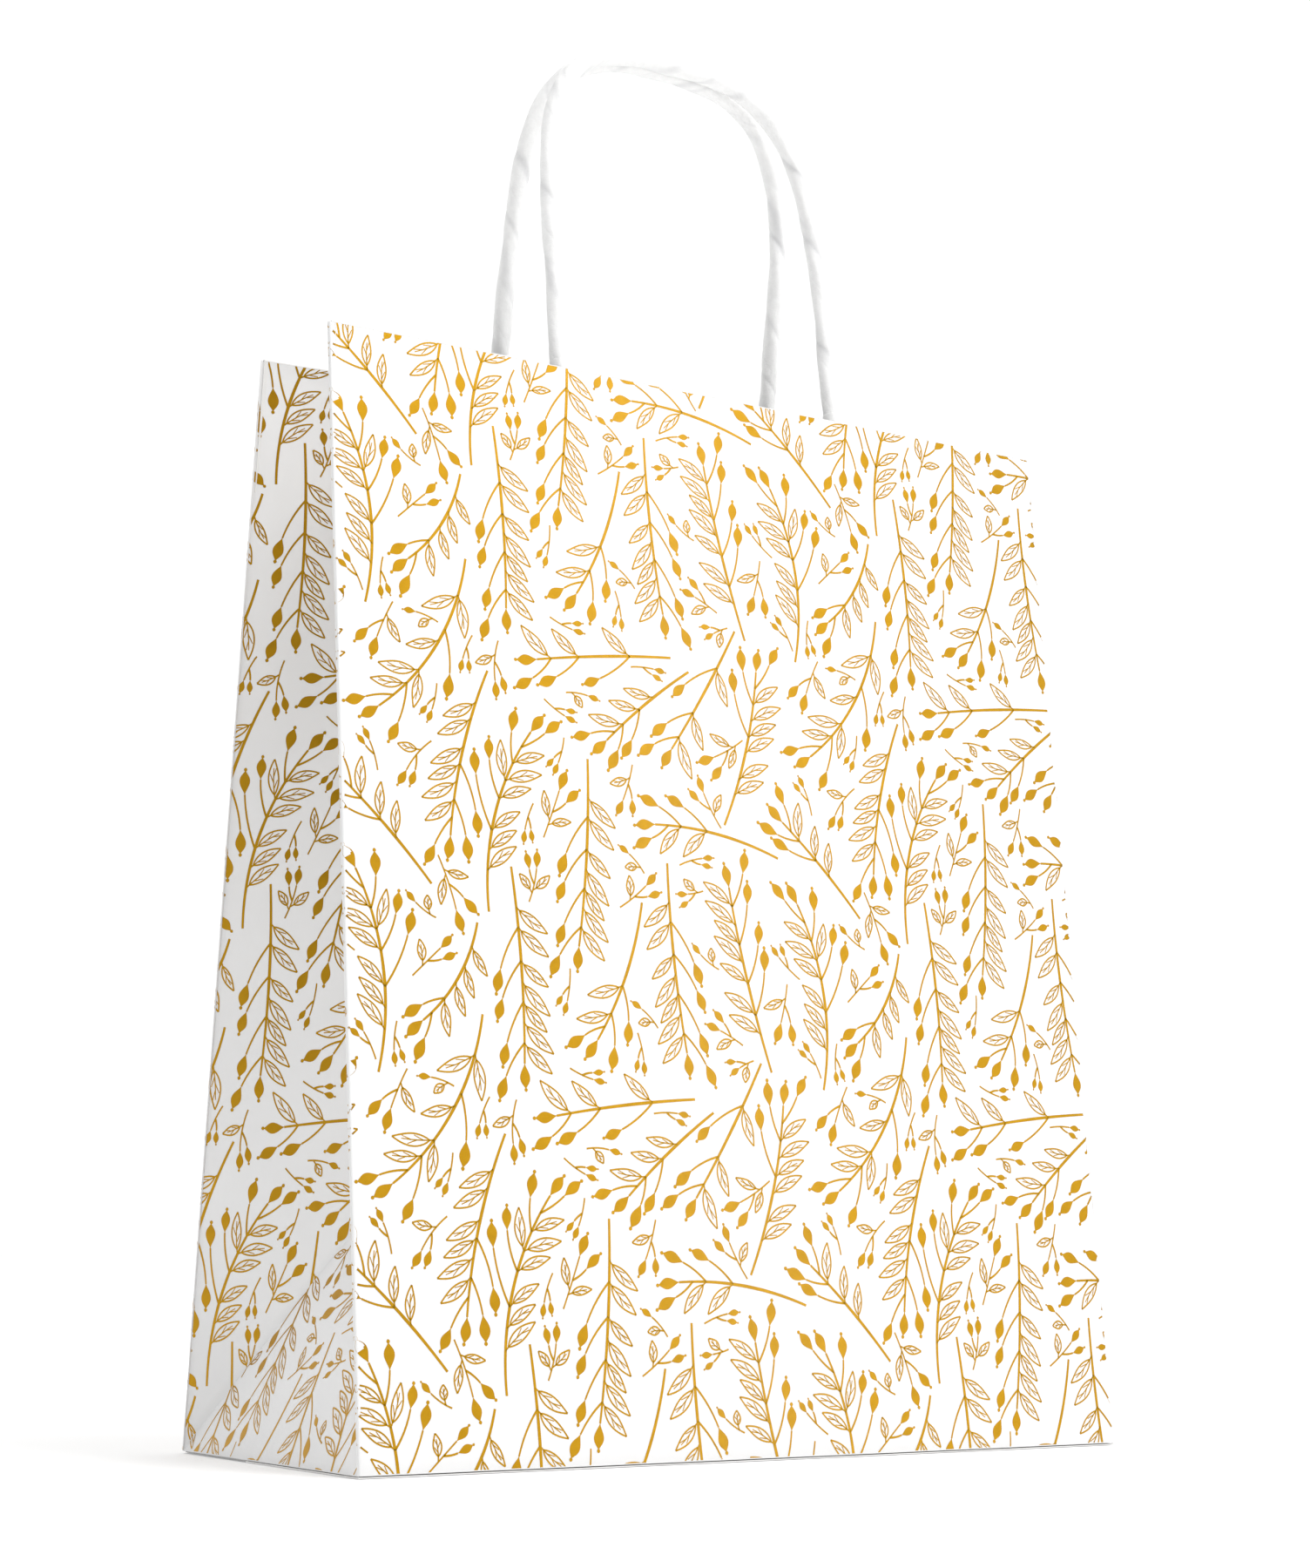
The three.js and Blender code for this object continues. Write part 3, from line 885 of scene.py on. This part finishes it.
def panel_print(tile, side, back):
    start = BACK_EDGE if back else LEFT_EDGE

    def place(s, t):
        x = s - start - HALF_WIDTH
        place_x, place_y = panel_place(x, t, -FOIL_LIFT)
        return in_wall(place_x, place_y, t, back)

    low = (start - PRINT_WRAP, PRINT_FOOT)
    high = (start + 2 * HALF_WIDTH + PRINT_WRAP, PANEL - PRINT_TOP)
    piece = print_piece(f"{side}_print", tile, low, high, box_cuts(low, high), place)
    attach(piece, f"{side}_wall")


def gusset_print(tile, side, half):
    right, rear = side == "right", half == "back"
    edge = {"left": LEFT_EDGE, "right": RIGHT_EDGE}[side]
    if rear:
        edge = 0.0 if side == "left" else BACK_EDGE
    inward = 1 if right != rear else -1  # direction of s from the panel's edge to the centre crease

    def place(s, t):
        u = (s - edge) * inward / HALF_DEPTH
        rise = CREASE_HEIGHT * u
        v = (t - rise) / (PANEL - rise)
        return gusset_place(u, v, -FOIL_LIFT, right, rear)

    ends = sorted([edge + inward * 0.3, edge + inward * (HALF_DEPTH - 0.1)])
    low, high = (ends[0], PRINT_FOOT), (ends[1], PANEL - PRINT_TOP)
    slope = (-inward * CREASE_HEIGHT, HALF_DEPTH)
    cuts = box_cuts(low, high) + [((edge, PRINT_FOOT), slope)]
    piece = print_piece(f"{side}_gusset_{half}_print", tile, low, high, cuts, place)
    blend_to_wall(piece, rear)


def triangle_print(tile, side):
    right = side == "right"
    middle = HALF_DEPTH + (RIGHT_EDGE if right else 0)

    def place(s, t):
        across = (s - middle) / HALF_DEPTH
        return triangle_place(-across if right else across, t, -FOIL_LIFT, right)

    low, high = (middle - HALF_DEPTH, PRINT_FOOT), (middle + HALF_DEPTH, CREASE_HEIGHT)
    cuts = box_cuts(low, high)
    for turn in (-1, 1):
        cuts.append(((middle + turn * HALF_DEPTH, -0.3), (-turn * CREASE_HEIGHT, -HALF_DEPTH)))
    piece = print_piece(f"{side}_base_triangle_print", tile, low, high, cuts, place)
    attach(piece, "base")


tile = tile_mesh(fill_tile())
for side, back in (("front", False), ("back", True)):
    panel_print(tile, side, back)
for side in ("left", "right"):
    gusset_print(tile, side, "front")
    gusset_print(tile, side, "back")
    triangle_print(tile, side)


# ---- Floor and light ----


def add_floor():
    mesh = bpy.data.meshes.new("floor")
    reach = 12
    corners = [(x * reach, y * reach, 0) for x, y in ((-1, -1), (1, -1), (1, 1), (-1, 1))]
    mesh.from_pydata(corners, [], [(0, 1, 2, 3)])
    look = Look("floor_white")
    look.colour(look.mix(look.ramp(look.noise(2, 2), 0, 1), (0.94, 0.94, 0.94), (0.92, 0.92, 0.92)))
    look.roughness(look.ramp(look.noise(20, 2), 0.85, 0.95))
    look.shader.inputs["Emission Color"].default_value = (1, 1, 1, 1)
    look.shader.inputs["Emission Strength"].default_value = 0.12
    mesh.materials.append(look.material)
    floor = bpy.data.objects.new("floor", mesh)
    floor.location.z = cad_box[0].z - 0.0002
    bpy.context.scene.collection.objects.link(floor)


def add_area(name, place, target, size, power):
    light = bpy.data.lights.new(name, "AREA")
    light.shape = "RECTANGLE"
    light.size, light.size_y = size
    light.energy = power
    holder = bpy.data.objects.new(name, light)
    holder.location = place
    holder.rotation_euler = (Vector(target) - Vector(place)).to_track_quat("-Z", "Y").to_euler()
    bpy.context.scene.collection.objects.link(holder)


def add_light():
    """A white surround, dimmer in front and on the left, a tall strip mirrored by the foil, and a high key."""
    world = bpy.data.worlds.new("studio")
    world.use_nodes = True
    nodes, links = world.node_tree.nodes, world.node_tree.links
    direction = nodes.new("ShaderNodeTexCoord").outputs["Generated"]
    towards = nodes.new("ShaderNodeVectorMath")
    towards.operation = "DOT_PRODUCT"
    towards.inputs[1].default_value = (-0.55, -0.78, -0.3)
    shade = nodes.new("ShaderNodeMapRange")
    for socket, number in (("From Min", 0.0), ("From Max", 0.75), ("To Min", 1.06), ("To Max", 0.4)):
        shade.inputs[socket].default_value = number
    links.new(direction, towards.inputs[0])
    links.new(towards.outputs["Value"], shade.inputs["Value"])
    links.new(shade.outputs["Result"], nodes["Background"].inputs["Strength"])
    nodes["Background"].inputs["Color"].default_value = (1, 1, 1, 1)
    bpy.context.scene.world = world
    add_area("strip", (0.67, -0.985, 0.50), (0.0, -0.04, 0.17), (0.12, 1.7), 2.7)
    add_area("key", (0.55, -1.15, 2.3), (0, 0, 0.15), (1.0, 1.0), 31)
    bpy.context.scene.view_settings.view_transform = "Standard"


add_floor()
add_light()
